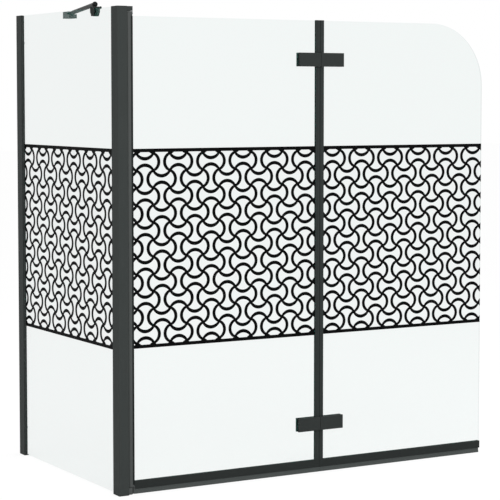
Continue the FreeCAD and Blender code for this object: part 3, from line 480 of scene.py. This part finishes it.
# The print: a lattice of arcs with open bobbins between them, lying down and standing up in turn.
# An arc is thick at its middle and thins towards the crossings. Vertices are the places where the
# arcs cross, and a bobbin fills the cell between four of them.
ARC_THICK = 9.6
ARC_THIN = 7.4
BORDER = 9.2
PRINT_TOP = 924.5
TOP_VERTEX = 865.98
ROW_PITCH = 46.21
ROWS_ABOVE = 1.5
ROWS = 13
COLUMNS = 13
ROW_BULGE = 14.6
COLUMN_BULGE = 16.5
INK_GAP = 0.02
INK_THICK = 0.03
ARC_STEPS = 12
# The border's bars overlap the lattice and stand above it by these factors
BORDER_OVERLAP = 1.02
BORDER_RAISE = 1.3
PRINT_SIZES = (
    "Start", "End", "Foot", "Top", "Border", "First Column", "Column Pitch", "Top Row", "Row Pitch",
    "Lying Corner X", "Lying Corner Y", "Lying Reach X", "Lying Reach Y",
    "Standing Corner X", "Standing Corner Y", "Standing Reach X", "Standing Reach Y", "Thickness",
)
PRINT_COUNTS = ("Columns", "Rows", "Arc Steps")


def crossing(first_centre, first_radius, second_centre, second_radius, near):
    """Where two circles cross, at the crossing that is nearer to a point."""
    apart = second_centre - first_centre
    span = apart.length
    along = (first_radius**2 - second_radius**2 + span**2) / (2 * span)
    across = math.sqrt(first_radius**2 - along**2)
    middle = first_centre + apart * (along / span)
    side = Vector((-apart.y, apart.x)) * (across / span)
    return min((middle + side, middle - side), key=lambda place: (place - near).length)


def bobbin_hole(pitch, lying, more):
    """A hole between the lines: its corner, and how far its arcs reach at their middles.

    The arcs that stand up are wider by more."""
    half_x = pitch / 2
    half_z = ROW_PITCH / 2
    round_x = (half_z**2 + COLUMN_BULGE**2) / (2 * COLUMN_BULGE)
    round_z = (half_x**2 + ROW_BULGE**2) / (2 * ROW_BULGE)
    out = 1 if lying else -1
    middle_x = half_x + out * COLUMN_BULGE
    middle_z = half_z - out * ROW_BULGE
    side_centre = Vector((middle_x - out * round_x, 0.0))
    top_centre = Vector((0.0, middle_z + out * round_z))
    side_radius = round_x - out * (ARC_THIN + more) / 2
    top_radius = round_z + out * ARC_THIN / 2
    corner = crossing(top_centre, top_radius, side_centre, side_radius, Vector((half_x, half_z)))
    return corner.x, corner.y, middle_x - (ARC_THICK + more) / 2, middle_z - ARC_THICK / 2


def hole_outline(graph, size, kind):
    """The closed outline of a hole, from four arcs."""
    corner_x, corner_y = size[f"{kind} Corner X"], size[f"{kind} Corner Y"]
    reach_x, reach_y = size[f"{kind} Reach X"], size[f"{kind} Reach Y"]

    def at(x, y):
        return graph.add("ShaderNodeCombineXYZ", {"X": x, "Y": y})

    right, left = corner_x, corner_x * -1.0
    high, low = corner_y, corner_y * -1.0
    arcs = []
    for start, middle, end in (
        (at(left, high), at(0.0, reach_y), at(right, high)),
        (at(right, high), at(reach_x, 0.0), at(right, low)),
        (at(right, low), at(0.0, reach_y * -1.0), at(left, low)),
        (at(left, low), at(reach_x * -1.0, 0.0), at(left, high)),
    ):
        arc = graph.add("GeometryNodeCurveArc", {
            "Start": start, "Middle": middle, "End": end, "Resolution": size["Arc Steps"]},
            {"mode": "POINTS"})
        arcs.append(graph.add("GeometryNodeCurveToMesh", {"Curve": arc}))
    outline = merged(graph, joined(graph, arcs), JOIN_WITHIN)
    return graph.add("GeometryNodeMeshToCurve", {"Mesh": outline})


def print_tree():
    """Geometry nodes that lay the print of one pane in the XY plane, raised by its thickness."""
    graph, size = start_tree("arc_lattice", (
        ("Float", PRINT_SIZES), ("Int", PRINT_COUNTS), ("Material", ("Ink",))))
    width = (size["Columns"] - 1.0) * size["Column Pitch"]
    height = (size["Rows"] - 1.0) * size["Row Pitch"]
    grid = graph.add("GeometryNodeMeshGrid", {
        "Size X": width, "Size Y": height, "Vertices X": size["Columns"], "Vertices Y": size["Rows"]})
    cells = graph.moved(grid, X=size["First Column"] + width / 2.0, Y=size["Top Row"] - height / 2.0)
    place = graph.add("ShaderNodeSeparateXYZ", {0: graph.add("GeometryNodeInputPosition")})
    column = (place - size["First Column"]) / size["Column Pitch"]
    row = (size["Top Row"] - place.other("Y")) / size["Row Pitch"]
    count = graph.math("ROUND", column + row)
    standing = graph.math("FLOORED_MODULO", count, 2.0) > 0.5
    holes = []
    for kind, chosen in (("Lying", 1.0 - standing), ("Standing", standing)):
        outline = hole_outline(graph, size, kind)
        made = graph.add("GeometryNodeInstanceOnPoints", {
            "Points": cells, "Selection": chosen, "Instance": outline})
        holes.append(graph.add("GeometryNodeRealizeInstances", {"Geometry": made}))
    inner_top = size["Top"] - size["Border"]
    inner_foot = size["Foot"] + size["Border"]
    middle = (size["Start"] + size["End"]) / 2.0
    pane_width = size["End"] - size["Start"]
    sheet = graph.add("GeometryNodeCurvePrimitiveQuadrilateral", {
        "Width": pane_width, "Height": inner_top - inner_foot})
    sheet = graph.moved(sheet, X=middle, Y=(inner_top + inner_foot) / 2.0)
    filled = graph.add("GeometryNodeFillCurve", {"Curve": joined(graph, [sheet, *holes])})
    past_x = graph.math("ABSOLUTE", place - middle) > pane_width / 2.0
    past_top = place.other("Y") > inner_top
    past_foot = place.other("Y") < inner_foot
    outside = (past_x + past_top + past_foot) > 0.5
    net = graph.add("GeometryNodeDeleteGeometry", {"Geometry": filled, "Selection": outside},
                    {"domain": "FACE"})
    parts = [raised(graph, net, size["Thickness"])]
    border_thick = size["Thickness"] * BORDER_RAISE
    half_border = size["Border"] * (BORDER_OVERLAP / 2)
    for level in (size["Top"] - half_border, size["Foot"] + half_border):
        box = graph.add("ShaderNodeCombineXYZ", {
            "X": pane_width, "Y": size["Border"] * BORDER_OVERLAP, "Z": border_thick})
        bar = graph.add("GeometryNodeMeshCube", {"Size": box})
        parts.append(graph.moved(bar, X=middle, Y=level, Z=border_thick / 2.0))
    return end_tree(graph, joined(graph, parts), size["Ink"])


def add_print(name, body, tree, ink, onto, across, foot, first_vertex, pitch, lift=0.0, more=0.0):
    """The print of one pane. onto turns the XY plane in metres on to the pane's outer face."""
    start, end = across
    values = {
        "Start": start, "End": end, "Foot": foot, "Top": PRINT_TOP, "Border": BORDER,
        "First Column": first_vertex - pitch / 2, "Column Pitch": pitch,
        "Top Row": TOP_VERTEX + lift + ROW_PITCH * ROWS_ABOVE, "Row Pitch": ROW_PITCH,
        "Thickness": INK_THICK,
    }
    for kind in ("Lying", "Standing"):
        names = (f"{kind} Corner X", f"{kind} Corner Y", f"{kind} Reach X", f"{kind} Reach Y")
        values.update(zip(names, bobbin_hole(pitch, kind == "Lying", more)))
    values = {key: value * MM for key, value in values.items()}
    values.update({"Columns": COLUMNS, "Rows": ROWS, "Arc Steps": ARC_STEPS, "Ink": ink})
    piece = grown(name, tree, values)
    piece.data.transform(onto)
    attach(piece, body)


# Trims and caps: an outline with rounded corners, drawn out along its run
ROUND_STEPS = 6


def trim_tree():
    """Geometry nodes that round an outline in the XY plane and draw it out along Z."""
    graph, given = start_tree("drawn_trim", (
        ("Geometry", ("Outline",)), ("Float", ("Start", "End")), ("Material", ("Compound",))))
    outline = graph.add("GeometryNodeMeshToCurve", {"Mesh": given["Outline"]})
    radius = graph.add("GeometryNodeInputNamedAttribute", {"Name": "rounding"}, {"data_type": "FLOAT"})
    outline = graph.add("GeometryNodeFilletCurve", {
        "Curve": outline, "Radius": radius, "Count": ROUND_STEPS, "Limit Radius": True},
        {"mode": "POLY"})
    face = graph.add("GeometryNodeFillCurve", {"Curve": outline}, {"mode": "NGONS"})
    body = raised(graph, graph.moved(face, Z=given["Start"]), given["End"] - given["Start"])
    return end_tree(graph, body, given["Compound"])


def span_of(node, axis):
    """A node's lowest and highest place along an axis, in millimetres from the post's corner."""
    low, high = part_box(node)
    return (low[axis] - CORNER[axis]) / MM, (high[axis] - CORNER[axis]) / MM


def drawn(name, body, tree, compound, outlines, runs, onto):
    """One piece from each outline drawn out over each run."""
    work = bmesh.new()
    for outline in outlines:
        for start, end in runs:
            values = {"Start": start * MM, "End": end * MM, "Compound": compound}
            length = grown(f"{name}_length", tree, values, outline)
            work.from_mesh(length.data)
            bpy.data.objects.remove(length)
    mesh = bpy.data.meshes.new(name)
    bmesh.ops.recalc_face_normals(work, faces=work.faces)
    work.to_mesh(mesh)
    work.free()
    mesh.transform(onto)
    mesh.materials.append(compound)
    piece = new_object(name, mesh)
    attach(piece, body)
    return piece


def add_trim(node, body, tree, compound, outlines, runs, onto):
    """A drawn piece in place of a CAD node."""
    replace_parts(drawn(f"{node}_trim", body, tree, compound, outlines, runs, onto), node)


def mirrored(outline, centre):
    """An outline turned over about a line of constant y."""
    return [(x, 2 * centre - y, radius) for x, y, radius in reversed(outline)]


# Pads: copies of CAD nodes with their edges rounded. Edges sharper than SHARP_TURN are rounded, and
# faces that turn less than FLAT_TURN become one first. Both are in degrees.
SHARP_TURN = 50
FLAT_TURN = 0.5
BEVEL_STEPS = 2


def add_softened(name, node, body, width, material):
    """A copy of a CAD node with its sharp edges rounded, to stand for it."""
    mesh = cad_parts[node].data.copy()
    mesh.name = name
    work = bmesh.new()
    work.from_mesh(mesh)
    bmesh.ops.remove_doubles(work, verts=work.verts, dist=WELD_WITHIN)
    flat = math.radians(FLAT_TURN)
    bmesh.ops.dissolve_limit(work, angle_limit=flat, verts=work.verts, edges=work.edges)
    limit = math.radians(SHARP_TURN)
    sharp = [edge for edge in work.edges if edge.is_manifold and edge.calc_face_angle() > limit]
    bmesh.ops.bevel(work, geom=sharp, offset=width * MM, offset_type="OFFSET", segments=BEVEL_STEPS,
                    affect="EDGES", profile=0.5, clamp_overlap=True)
    bmesh.ops.recalc_face_normals(work, faces=work.faces)
    work.to_mesh(mesh)
    work.free()
    piece = new_object(name, mesh)
    dress(piece, material)
    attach(piece, body)
    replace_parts(piece, node)


# The knob. Its core lies below its ridges' tips by a share of their radius.
KNOB_SIZES = ("Screw Radius", "Screw Length", "Head Radius", "Head Length", "Ridge Radius", "Crown")
KNOB_COUNTS = ("Ridges", "Sides")
RIDGE_SIDES = 6
RIDGE_SINK = 0.4


def knob_tree():
    """Geometry nodes for a knurled knob on a screw, along Z from the screw's tip."""
    graph, size = start_tree("knurled_knob", (
        ("Float", KNOB_SIZES), ("Int", KNOB_COUNTS), ("Material", ("Finish",))))
    barrel = size["Head Length"] - size["Crown"] * 2.0
    middle = size["Screw Length"] + size["Head Length"] / 2.0
    core = size["Head Radius"] - size["Ridge Radius"] * RIDGE_SINK
    screw = graph.add("GeometryNodeMeshCylinder", {
        "Vertices": size["Sides"], "Radius": size["Screw Radius"], "Depth": size["Screw Length"]})
    head = graph.add("GeometryNodeMeshCylinder", {
        "Vertices": size["Sides"], "Radius": core, "Depth": barrel})
    crown = graph.add("GeometryNodeMeshCone", {
        "Vertices": size["Sides"], "Radius Bottom": core, "Radius Top": core - size["Crown"],
        "Depth": size["Crown"]})
    turned = graph.add("GeometryNodeTransform", {"Geometry": crown, "Rotation": (math.pi, 0.0, 0.0)})
    ring = graph.add("GeometryNodeMeshCircle", {
        "Vertices": size["Ridges"], "Radius": size["Head Radius"] - size["Ridge Radius"]})
    ridge = graph.add("GeometryNodeMeshCylinder", {
        "Vertices": RIDGE_SIDES, "Radius": size["Ridge Radius"], "Depth": barrel})
    ridges = graph.add("GeometryNodeInstanceOnPoints", {"Points": ring, "Instance": ridge})
    ridges = graph.add("GeometryNodeRealizeInstances", {"Geometry": ridges})
    parts = [
        graph.moved(screw, Z=size["Screw Length"] / 2.0),
        graph.moved(head, Z=middle),
        graph.moved(crown, Z=middle + barrel / 2.0),
        graph.moved(turned, Z=middle - barrel / 2.0),
        graph.moved(ridges, Z=middle),
    ]
    return end_tree(graph, joined(graph, parts), size["Finish"])


add_camera()
add_world()
add_floor()
add_lamps()

# Each finish runs between a dark and a light tone
upright_coat = powder_coat("upright_coat", (0.038, 0.0432, 0.042), (0.0495, 0.0555, 0.0537), "Z")
# Its tones are a little lighter than the upright coat's: a painted highlight on the swinging profile's
# rounded front, carried on to the pieces in line with it and to the stay's wall bracket.
painted_highlight_coat = powder_coat("painted_highlight_coat", (0.042, 0.048, 0.0465), (0.054, 0.0608, 0.0588), "Z", 0.42)
level_coat = powder_coat("level_coat", (0.0235, 0.0267, 0.0259), (0.0295, 0.0333, 0.0323), "X")
fitting_coat = powder_coat("fitting_coat", (0.030, 0.034, 0.033), (0.0367, 0.0415, 0.0402))
# Its tones are darker than the fitting coat's: painted shade on the stay bar, and the knob's own black.
black_and_painted_shade_coat = powder_coat("black_and_painted_shade_coat", (0.013, 0.015, 0.0145), (0.019, 0.0215, 0.021), "", 0.03)
upright_seal = rubber("upright_seal", (0.0255, 0.030, 0.0293), (0.0355, 0.041, 0.0395), "Z")
lip_seal = rubber("lip_seal", (0.011, 0.0135, 0.013), (0.017, 0.020, 0.0193), "Z")
floor_wiper = rubber("floor_wiper", (0.062, 0.070, 0.068), (0.080, 0.089, 0.087), "X")
cap_plastic = moulding("cap_plastic", (0.014, 0.0165, 0.016), (0.021, 0.024, 0.0235))
pin_steel = steel("pin_steel", (0.16, 0.165, 0.165), (0.24, 0.245, 0.245))
front_glass = clear_glass("front_glass", "Y")
side_glass = clear_glass("side_glass", "X")
ink = fired_ink("fired_ink", (0.0018, 0.0021, 0.0021), (0.0036, 0.0040, 0.0040))

BY_SLOT = {
    "glass": front_glass,
    "coated_metal": fitting_coat,
    "seal": upright_seal,
    "wiper": floor_wiper,
    "moulding": cap_plastic,
    "steel": pin_steel,
}
BY_NODE = {
    "side_glass": side_glass,
    "corner_post": upright_coat,
    "swing_profile": painted_highlight_coat,
    "top_pivot_plug": painted_highlight_coat,
    "bottom_pivot_plug": painted_highlight_coat,
    "top_pivot_arm": upright_coat,
    "bottom_pivot_arm": painted_highlight_coat,
    "wall_profile": upright_coat,
    "glass_channel": upright_coat,
    "leaf_1_bottom_rail": level_coat,
    "leaf_2_bottom_rail": level_coat,
    "stay_bar": black_and_painted_shade_coat,
    "stay_wall_bracket": painted_highlight_coat,
}
for name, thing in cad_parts.items():
    dress(thing, BY_NODE.get(name, BY_SLOT[thing.data.materials[0].name.split(".")[0]]))

# The print, on the outer faces of the panes. Its columns were measured on each pane, and the side's
# count from the vertex next to the post. The side's upright arcs are wider.
FRONT_FACE = 12.0
SIDE_FACE = 7.5
SIDE_PITCH = 53.374
SIDE_VERTEX = -56.76
SIDE_COLUMNS = 11
lattice = print_tree()
front_turn = Matrix(((1, 0, 0), (0, 0, -1), (0, 1, 0))).to_4x4()
ahead = Matrix.Translation(spot(0, FRONT_FACE - INK_GAP, 0)) @ front_turn
side_turn = Matrix(((0, 0, -1), (-1, 0, 0), (0, 1, 0))).to_4x4()
aside = Matrix.Translation(spot(SIDE_FACE - INK_GAP, 0, 0)) @ side_turn
add_print("leaf_1_print", "leaf_1", lattice, ink, ahead, across=(49.3, 619.7), foot=391.1,
          first_vertex=60.06, pitch=50.083)
add_print("leaf_2_print", "leaf_2", lattice, ink, ahead, across=(647.3, 1199.4), foot=392.4,
          first_vertex=651.88, pitch=49.164)
add_print("side_print", "root", lattice, ink, aside, across=(-642.7, -38.3), foot=387.4,
          first_vertex=SIDE_VERTEX - SIDE_COLUMNS * SIDE_PITCH, pitch=SIDE_PITCH, lift=-2.5, more=2.0)

# Trims stand up along Z or lie down along X. Each corner of an outline is (x, y, rounding), and in
# those that lie, x and y are the part's Y and Z.
upright = Matrix.Translation(CORNER)
lying = Matrix.Translation(CORNER) @ Matrix(((0, 0, 1), (1, 0, 0), (0, 1, 0))).to_4x4()
LEAF_LINE = 14.5
trim = trim_tree()
post_gaskets = (
    [(5.5, 26, 0.2), (7.5, 26, 0.2), (7.5, 38, 0.9), (5.5, 38, 0.7)],
    [(12.5, 26, 0.2), (14.5, 26, 0.2), (14.5, 38, 0.7), (12.5, 38, 0.9)],
)
add_trim("post_gaskets", "root", trim, lip_seal, post_gaskets,
         [span_of("post_gaskets", ALONG_Z)], upright)
channel_gaskets = (
    [(6.2, 643, 0.5), (7.5, 643, 0.7), (7.5, 668.5, 0.2), (6.2, 668.5, 0.2)],
    [(12.5, 663, 0.7), (13.8, 663, 0.5), (13.8, 668.5, 0.2), (12.5, 668.5, 0.2)],
)
add_trim("channel_gaskets", "root", trim, lip_seal, channel_gaskets,
         [span_of("channel_gaskets", ALONG_Z)], upright)
# A buffer with a groove down its middle, on the post behind the swinging profile
post_buffer = [(29, 8.5, 0.1), (30.2, 8.5, 0.7), (30.2, 13.0, 0.4), (29.5, 13.6, 0.3), (29.5, 15.4, 0.3),
               (30.2, 16.0, 0.4), (30.2, 20.5, 0.7), (29, 20.5, 0.1)]
add_trim("post_seal", "root", trim, lip_seal, [post_buffer],
         [span_of("post_seal", ALONG_Z)], upright)
# A gasket that lines the glass slot and hooks round the profile's lip
hook = [(39, 11, 0.1), (48.2, 11, 0.2), (48.2, 8.5, 0.2), (43, 8.5, 0.3), (43, 7.3, 0.5), (49, 7.3, 0.9),
        (49, 12, 0.2), (39, 12, 0.1)]
add_trim("swing_gaskets", "leaf_1", trim, lip_seal, [hook, mirrored(hook, LEAF_LINE)],
         [span_of("swing_gaskets", ALONG_Z)], upright)
# Centre seals grip the glass with two legs and meet at their rounded noses
SEAL_GAP = 0.3
seal_foot, seal_top = span_of("leaf_1_centre_seal", ALONG_Z)
lower_foot, lower_top = span_of("lower_hinge_outer_plate_1", ALONG_Z)
upper_foot, upper_top = span_of("upper_hinge_outer_plate_1", ALONG_Z)
seal_runs = (
    (seal_foot, lower_foot - SEAL_GAP),
    (lower_top + SEAL_GAP, upper_foot - SEAL_GAP),
    (upper_top + SEAL_GAP, seal_top),
)
near_seal = [(620, 11, 0.4), (625.6, 11, 0.5), (626.4, 10, 0.6), (633.7, 10, 2.4),
             (633.7, 19, 2.4), (626.4, 19, 0.6), (625.6, 18, 0.5), (620, 18, 0.4),
             (620, 17, 0.2), (628, 17, 0.2), (628, 12, 0.2), (620, 12, 0.2)]
far_seal = [(647, 12, 0.2), (637, 12, 0.2), (637, 17, 0.2), (647, 17, 0.2),
            (647, 18, 0.4), (639.4, 18, 0.5), (638.6, 19, 0.6), (634.3, 19, 1.6),
            (634.3, 10, 1.6), (638.6, 10, 0.6), (639.4, 11, 0.5), (647, 11, 0.4)]
add_trim("leaf_1_centre_seal", "leaf_1", trim, upright_seal, [near_seal], seal_runs, upright)
add_trim("leaf_2_centre_seal", "leaf_2", trim, upright_seal, [far_seal], seal_runs, upright)
# Wipers with two lips
lips = [(10, 0, 0.8), (12, 0, 0.9), (13.5, 12, 0.7), (15.5, 12, 0.7), (17, 0, 0.9), (19, 0, 0.8),
        (17.5, 14, 0.6), (17.5, 23.5, 0.4), (11.5, 23.5, 0.4), (11.5, 14, 0.6)]
FREE_CAP = 2.6
near_start, near_end = span_of("leaf_1_bottom_rail", ALONG_X)
far_start, far_end = span_of("leaf_2_bottom_rail", ALONG_X)
near_run = (near_start, near_end)
far_run = (far_start, far_end - FREE_CAP)
add_trim("leaf_1_floor_wiper", "leaf_1", trim, floor_wiper, [lips], [near_run], lying)
add_trim("leaf_2_floor_wiper", "leaf_2", trim, floor_wiper, [lips], [far_run], lying)
# Rails, a cap on the far rail's free end, and a heel at the near rail's start, under the swinging profile
rail = [(9, 14, 0.4), (11.4, 14, 0.3), (11.4, 23.5, 0.1), (17.6, 23.5, 0.1),
        (17.6, 14, 0.3), (20, 14, 0.4), (20, 35, 0.6), (17.1, 35, 0.3),
        (17.1, 26, 0.1), (11.9, 26, 0.1), (11.9, 35, 0.3), (9, 35, 0.6)]
add_trim("leaf_1_bottom_rail", "leaf_1", trim, level_coat, [rail], [near_run], lying)
add_trim("leaf_2_bottom_rail", "leaf_2", trim, level_coat, [rail], [far_run], lying)
fork = [(8.8, 13.7, 0.8), (20.2, 13.7, 0.8), (20.2, 35.2, 0.8), (17.1, 35.2, 0.3), (17.1, 25.9, 0.2),
        (11.9, 25.9, 0.2), (11.9, 35.2, 0.3), (8.8, 35.2, 0.8)]
drawn("leaf_2_rail_cap", "leaf_2", trim, cap_plastic, [fork],
      [(far_end - FREE_CAP, far_end)], lying)
HEEL_LENGTH = 2.8
heel = [(10, 0.5, 1.5), (19, 0.5, 1.5), (20, 13, 0.8), (20, 22.2, 0.6), (9, 22.2, 0.6), (9, 13, 0.8)]
drawn("leaf_1_rail_cap", "leaf_1", trim, painted_highlight_coat, [heel],
      [(near_start - HEEL_LENGTH, near_start)], lying)
# A collar on the swinging profile, under the top arm
COLLAR_RUN = (1281.0, 1287.0)
collar = [(30.6, 7, 7.3), (49, 7, 1.6), (49, 22, 1.6), (30.6, 22, 7.3)]
drawn("leaf_1_collar", "leaf_1", trim, painted_highlight_coat, [collar], [COLLAR_RUN], upright)

HINGE_PAD_EDGE = 0.25
CLAMP_PAD_EDGE = 0.3
add_softened("leaf_1_pads", "leaf_1_hinge_pads", "leaf_1", HINGE_PAD_EDGE, lip_seal)
add_softened("leaf_2_pads", "leaf_2_hinge_pads", "leaf_2", HINGE_PAD_EDGE, lip_seal)
add_softened("clamp_pads", "stay_clamp_pads", "root", CLAMP_PAD_EDGE, lip_seal)

# The knob of the stay's lock screw, along X from its screw's tip
KNOB_LINE = (166, 1302.6)
KNOB_HEAD = 5
tip, top = span_of("stay_lock_screw", ALONG_X)
knob_sizes = {"Screw Radius": 1.6, "Screw Length": top - tip - KNOB_HEAD, "Head Radius": 3.4,
              "Head Length": KNOB_HEAD, "Ridge Radius": 0.3, "Crown": 0.6}
knob_sizes = {key: value * MM for key, value in knob_sizes.items()}
knob_sizes.update({"Ridges": 28, "Sides": 40, "Finish": black_and_painted_shade_coat})
knob = grown("stay_lock_knob", knob_tree(), knob_sizes)
knob.data.transform(Matrix.Translation(spot(tip, *KNOB_LINE)) @ Matrix.Rotation(math.pi / 2, 4, "Y"))
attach(knob, "root")
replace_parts(knob, "stay_lock_screw")

bpy.context.scene.view_settings.view_transform = "Standard"
